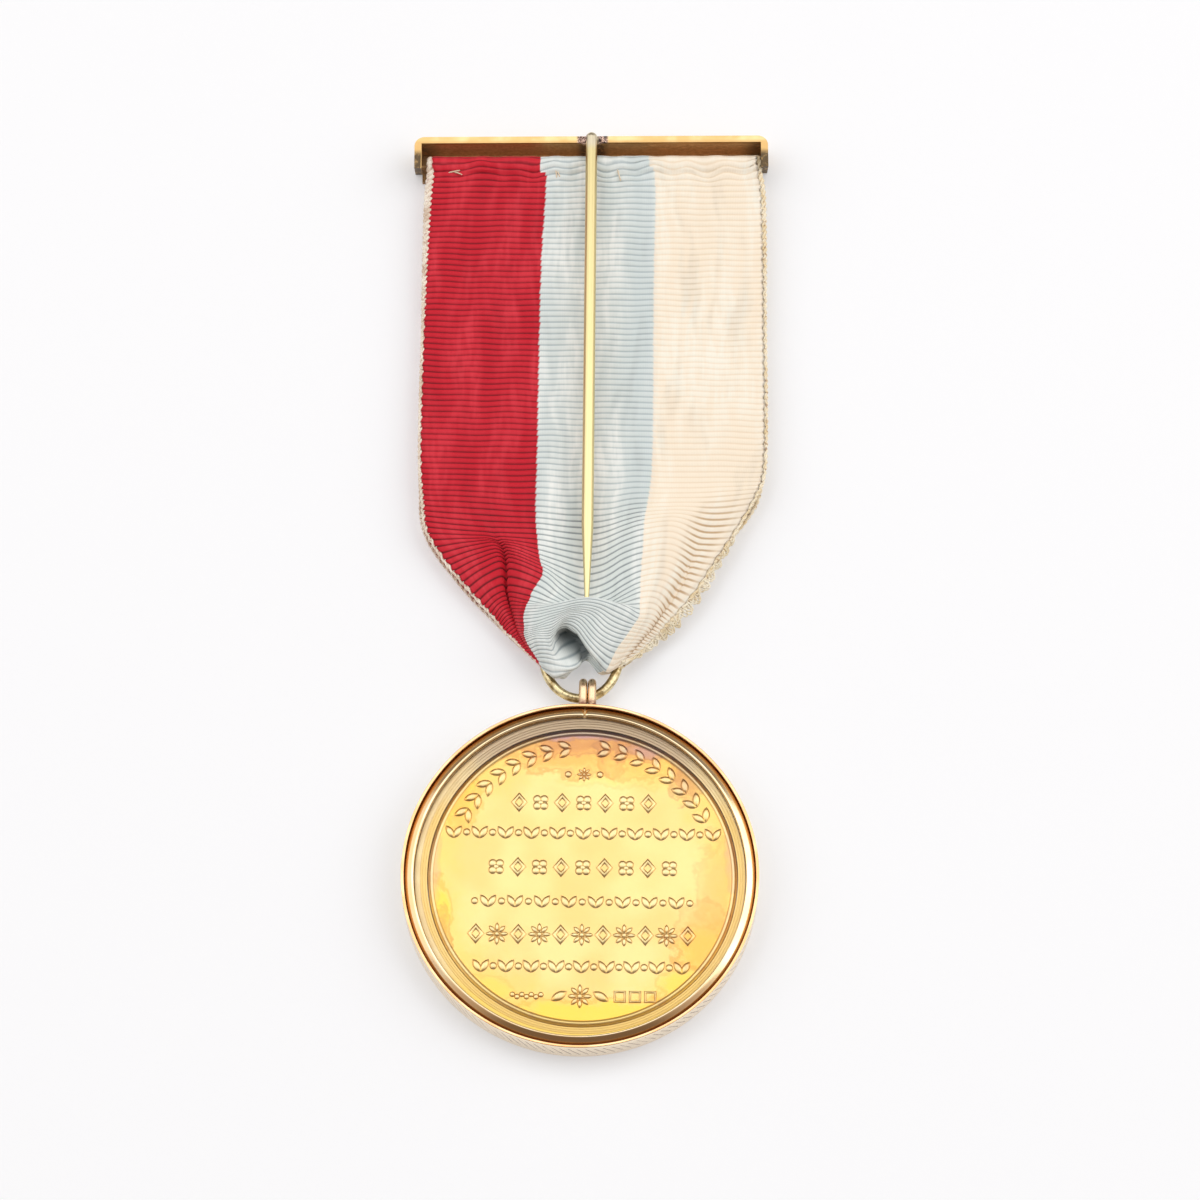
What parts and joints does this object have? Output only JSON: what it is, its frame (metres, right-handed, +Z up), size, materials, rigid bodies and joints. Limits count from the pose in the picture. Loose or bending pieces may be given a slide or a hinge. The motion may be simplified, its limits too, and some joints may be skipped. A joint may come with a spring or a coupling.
{
  "type": "charity jewel",
  "caption": "Worn jewel lying on its front: glazed round case with a relief disc, double bail, oval ring, gathered striped ribbon and a brooch bar with a fixed pin.",
  "frame": {"origin": "under the middle of the whole jewel, on the plane that it lies on", "axes": "+Z up out of the surface and towards the jewel's back, +Y from the disc towards the brooch bar, +X to the right of someone who looks at the back"},
  "size_m": [0.04, 0.1061, 0.0058],
  "materials": {
    "brooch_metal": "worn polished with brown tarnish",
    "ribbon_cloth": "corded moire ribbon in crimson, pale blue and cream",
    "ring_metal": "polished with brown patina",
    "case_metal": "polished gilt",
    "case_glass": "clear polished",
    "disc_metal": "struck gilt with orange toning"
  },
  "bodies": {
    "root": {"brooch_bar": "brooch_metal", "ribbon": "ribbon_cloth", "suspension_ring": "ring_metal", "case_band": "case_metal", "back_bezel": "case_metal", "front_bezel": "case_metal", "back_glass": "case_glass", "front_glass": "case_glass", "medal_disc": "disc_metal"}
  },
  "joints": []
}
